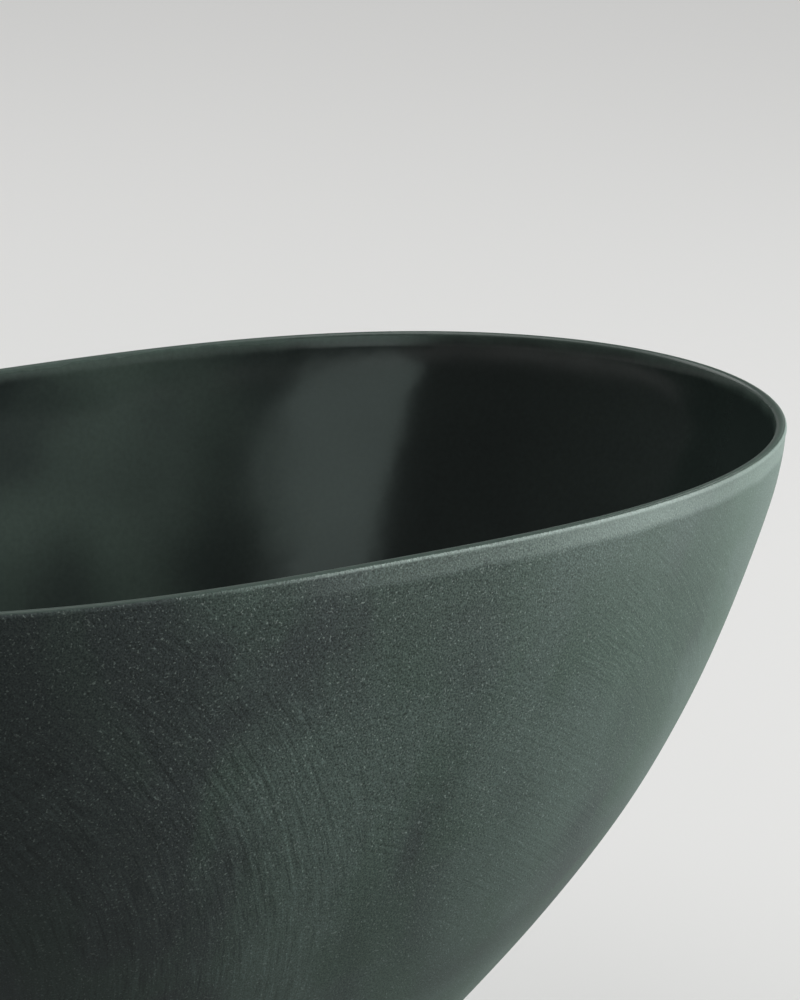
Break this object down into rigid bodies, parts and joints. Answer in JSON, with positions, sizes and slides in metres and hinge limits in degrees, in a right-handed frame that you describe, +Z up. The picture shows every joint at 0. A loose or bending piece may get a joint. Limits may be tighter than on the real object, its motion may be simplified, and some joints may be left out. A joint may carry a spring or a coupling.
{
  "type": "ikebana vessel",
  "caption": "Deep oval porcelain flower vessel with a glossy glazed inside, a matt sanded outside and a lift-out pin holder on its floor.",
  "frame": {"origin": "on the table, under the middle of the foot ring", "axes": "+X along the oval's length, +Y across it, +Z up"},
  "size_m": [0.3298, 0.2049, 0.172],
  "materials": {
    "bisque_porcelain": "matte",
    "green_glaze": "gloss",
    "cast_base": "satin",
    "pin_brass": "satin",
    "ring_rubber": "matte"
  },
  "bodies": {
    "vessel": {"vessel_body": "bisque_porcelain", "inner_glaze": "green_glaze"},
    "pin_holder": {"kenzan_base": "cast_base", "kenzan_pins": "pin_brass", "kenzan_ring": "ring_rubber"}
  },
  "joints": [
    {"name": "pin_holder_lift", "type": "slide", "parent": "vessel", "child": "pin_holder", "axis": [0, 0, 1], "range_m": [0, 0.18]}
  ]
}
